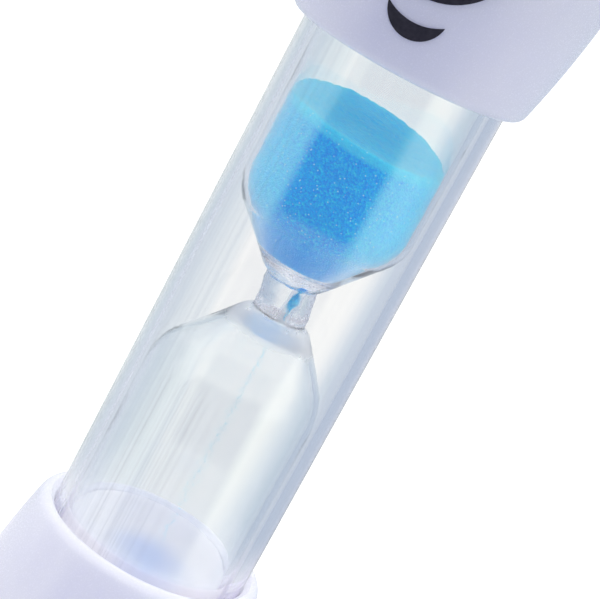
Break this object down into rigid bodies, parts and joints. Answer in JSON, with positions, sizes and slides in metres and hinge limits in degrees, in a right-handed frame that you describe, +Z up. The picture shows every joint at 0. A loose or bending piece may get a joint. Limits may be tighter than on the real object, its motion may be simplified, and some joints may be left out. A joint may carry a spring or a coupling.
{
  "type": "sand timer",
  "caption": "Small sand timer: a necked glass vial of blue sand in a clear tube between flared white end caps, with a smiling face printed on the upper cap.",
  "frame": {"origin": "centre of the timer's base, the outer face of the lower end cover", "axes": "+Z up along the timer's axis from the lower cap to the upper cap; the printed face looks towards -Y, turned 6 degrees towards -X"},
  "size_m": [0.0256, 0.0256, 0.09],
  "materials": {
    "cap_plastic": "glossy moulded, very slightly lavender white",
    "cover_plastic": "satin moulded white",
    "clear_plastic": "clear extruded plastic with fine lengthwise streaks",
    "vial_glass": "clear lamp-worked glass, faintly green where it is thick",
    "plug_plastic": "satin white stopper",
    "blue_sand": "fine bright blue sand with small glittering grains",
    "black_ink": "pad-printed black ink"
  },
  "bodies": {
    "root": {"lower_cap": "cap_plastic", "upper_cap": "cap_plastic", "lower_end_cover": "cover_plastic", "upper_end_cover": "cover_plastic", "outer_tube": "clear_plastic", "glass_vial": "vial_glass", "lower_plug": "plug_plastic", "upper_plug": "plug_plastic", "upper_sand": "blue_sand", "sand_stream": "blue_sand", "chin_line": "black_ink", "mouth": "black_ink", "left_eye": "black_ink", "right_eye": "black_ink"}
  },
  "joints": []
}
